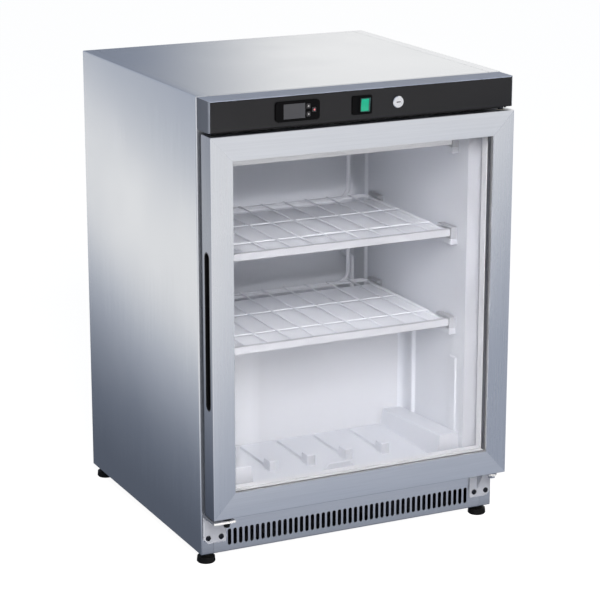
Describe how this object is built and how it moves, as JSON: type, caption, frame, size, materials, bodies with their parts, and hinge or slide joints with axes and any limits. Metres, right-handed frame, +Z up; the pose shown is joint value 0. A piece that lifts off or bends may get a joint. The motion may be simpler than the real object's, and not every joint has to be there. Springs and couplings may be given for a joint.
{
  "type": "under-counter display freezer",
  "caption": "Upright under-counter display freezer: brushed steel cabinet, framed glass door with side grip and lock, control fascia, slotted grille, evaporator shelves and a machine bay.",
  "frame": {"origin": "on the ground under the middle of the outline, door closed", "axes": "+Z up, -Y towards the door, +X to the right seen from the front"},
  "size_m": [0.6, 0.602, 0.855],
  "materials": {
    "stainless": "brushed, vertical grain",
    "galvanised": "galvanised",
    "liner_white": "moulded, soft gloss",
    "foam": "matte foam",
    "black_plastic": "fine grain",
    "dark_window": "clear gloss",
    "key_grey": "fine grain",
    "green_rocker": "gloss",
    "lock_chrome": "polished",
    "zinc": "zinc plated",
    "white_coated": "white coating",
    "white_plastic": "soft gloss",
    "door_profile": "brushed, anodised",
    "glass": "clear",
    "spacer": "satin",
    "frame_grey": "satin",
    "gasket": "matte",
    "bush": "satin",
    "rubber": "matte",
    "compressor_black": "black paint",
    "coil": "plain",
    "copper": "plain"
  },
  "bodies": {
    "cabinet": {"left_side_panel": "stainless", "right_side_panel": "stainless", "top_panel": "stainless", "top_front_rail": "stainless", "bottom_front_rail": "stainless", "grille_panel": "stainless", "back_panel": "galvanised", "bay_lining": "galvanised", "base_pan": "galvanised", "rear_cover": "galvanised", "inner_liner": "liner_white", "insulation": "foam", "fascia": "black_plastic", "controller_body": "black_plastic", "switch_frame": "black_plastic", "spare_bracket_plug": "black_plastic", "front_left_foot": "black_plastic", "front_right_foot": "black_plastic", "rear_left_foot": "black_plastic", "rear_right_foot": "black_plastic", "fan_motor": "black_plastic", "drip_tray": "black_plastic", "controller_window": "dark_window", "lock_housing": "lock_chrome", "upper_hinge_bracket": "zinc", "upper_hinge_pin": "zinc", "lower_hinge_bracket": "zinc", "lower_hinge_pin": "zinc", "spare_hinge_bracket": "zinc", "bracket_screws": "zinc", "lower_evaporator_shelf": "white_coated", "middle_evaporator_shelf": "white_coated", "top_evaporator_shelf": "white_coated", "evaporator_risers": "white_coated", "lower_shelf_trim": "white_plastic", "middle_shelf_trim": "white_plastic", "top_shelf_trim": "white_plastic", "shelf_end_clips": "white_plastic", "compressor_mounts": "rubber", "compressor": "compressor_black", "condenser": "coil", "refrigerant_pipes": "copper"},
    "door": {"door_top_rail": "door_profile", "door_bottom_rail": "door_profile", "door_left_stile": "door_profile", "door_right_stile": "door_profile", "outer_glass": "glass", "inner_glass": "glass", "glass_spacer": "spacer", "door_inner_frame": "frame_grey", "door_gasket": "gasket", "grip_cup": "black_plastic", "door_bushes": "bush"},
    "switch": {"switch_rocker": "green_rocker"},
    "lock": {"lock_plug": "lock_chrome", "lock_cam": "zinc"},
    "fan": {"fan_blade": "black_plastic"},
    "key_up": {"controller_key_up": "key_grey"},
    "key_down": {"controller_key_down": "key_grey"},
    "key_set": {"controller_key_set": "key_grey"}
  },
  "joints": [
    {"name": "door_hinge", "type": "hinge", "parent": "cabinet", "child": "door", "pos_m": [0.2798, -0.282, 0], "axis": [0, 0, 1], "range_deg": [0, 110]},
    {"name": "switch_rock", "type": "hinge", "parent": "cabinet", "child": "switch", "pos_m": [-0.002, -0.295, 0.8257], "axis": [1, 0, 0], "range_deg": [-12, 0]},
    {"name": "lock_turn", "type": "hinge", "parent": "cabinet", "child": "lock", "pos_m": [0.062, -0.282, 0.8257], "axis": [0, 1, 0], "range_deg": [0, 90]},
    {"name": "fan_spin", "type": "hinge", "parent": "cabinet", "child": "fan", "pos_m": [0.14, 0.1415, 0.1305], "axis": [0, 1, 0], "continuous": true},
    {"name": "key_up_press", "type": "slide", "parent": "cabinet", "child": "key_up", "axis": [0, 1, 0], "range_m": [0, 0.0005], "stiffness_N_per_m": 600},
    {"name": "key_down_press", "type": "slide", "parent": "cabinet", "child": "key_down", "axis": [0, 1, 0], "range_m": [0, 0.0005], "stiffness_N_per_m": 600},
    {"name": "key_set_press", "type": "slide", "parent": "cabinet", "child": "key_set", "axis": [0, 1, 0], "range_m": [0, 0.0005], "stiffness_N_per_m": 600}
  ]
}
